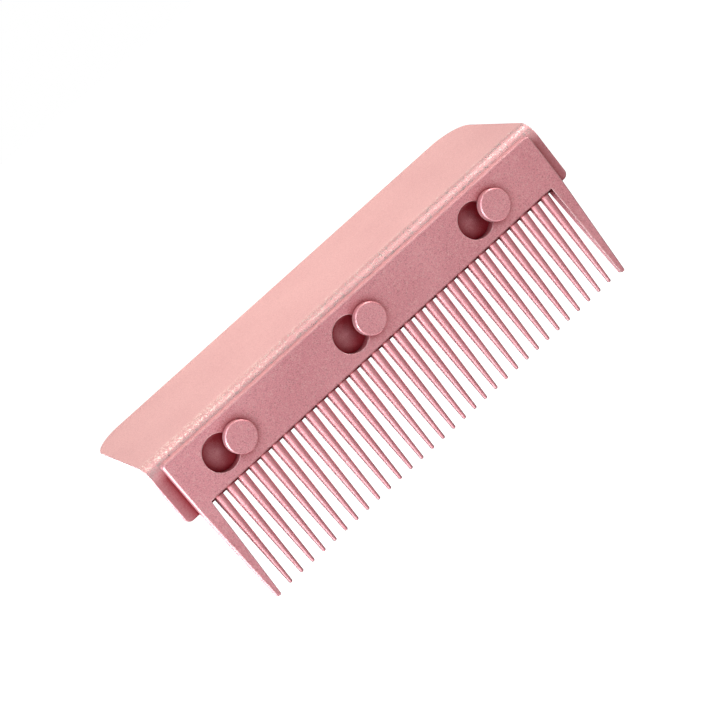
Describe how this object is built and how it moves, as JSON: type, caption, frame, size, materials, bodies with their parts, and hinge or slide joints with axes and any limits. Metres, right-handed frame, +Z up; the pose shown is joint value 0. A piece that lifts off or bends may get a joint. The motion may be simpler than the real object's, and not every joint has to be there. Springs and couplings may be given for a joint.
{
  "type": "comb attachment for a hair straightener",
  "caption": "Rose metal comb attachment: a bent bracket that sticks to a hair straightener's arm, and a round-toothed comb held on headed studs in keyholes.",
  "frame": {"origin": "where the middle stud's axis meets the inner face of the bracket's flange, which seats against the side of the straightener's arm", "axes": "+X along the comb, from the keyholes' round ends towards their slots; -Y out of the comb's front face; +Z up, away from the tips of the teeth"},
  "size_m": [0.1216, 0.0452, 0.0454],
  "materials": {
    "bracket_rose": "fine blasted and rose anodised, satin",
    "comb_rose": "fine blasted and rose anodised, satin",
    "stud_rose": "fine turned and rose anodised, satin",
    "tooth_rose": "polished and rose anodised, satin gloss",
    "pad": "matt heat-resistant silicone foam, adhesive on both faces"
  },
  "bodies": {
    "bracket_assembly": {"bracket": "bracket_rose", "adhesive_pad": "pad", "stud_1": "stud_rose", "stud_2": "stud_rose", "stud_3": "stud_rose"},
    "comb": {"comb_spine": "comb_rose", "pin_01": "tooth_rose", "pin_02": "tooth_rose", "pin_03": "tooth_rose", "pin_04": "tooth_rose", "pin_05": "tooth_rose", "pin_06": "tooth_rose", "pin_07": "tooth_rose", "pin_08": "tooth_rose", "pin_09": "tooth_rose", "pin_10": "tooth_rose", "pin_11": "tooth_rose", "pin_12": "tooth_rose", "pin_13": "tooth_rose", "pin_14": "tooth_rose", "pin_15": "tooth_rose", "pin_16": "tooth_rose", "pin_17": "tooth_rose", "pin_18": "tooth_rose", "pin_19": "tooth_rose", "pin_20": "tooth_rose", "pin_21": "tooth_rose", "pin_22": "tooth_rose", "pin_23": "tooth_rose", "pin_24": "tooth_rose", "pin_25": "tooth_rose", "pin_26": "tooth_rose", "pin_27": "tooth_rose", "pin_28": "tooth_rose", "pin_29": "tooth_rose", "pin_30": "tooth_rose", "pin_31": "tooth_rose"}
  },
  "joints": [
    {"name": "comb_slide", "type": "slide", "parent": "bracket_assembly", "child": "comb", "axis": [1, 0, 0], "range_m": [0, 0.0054]}
  ]
}
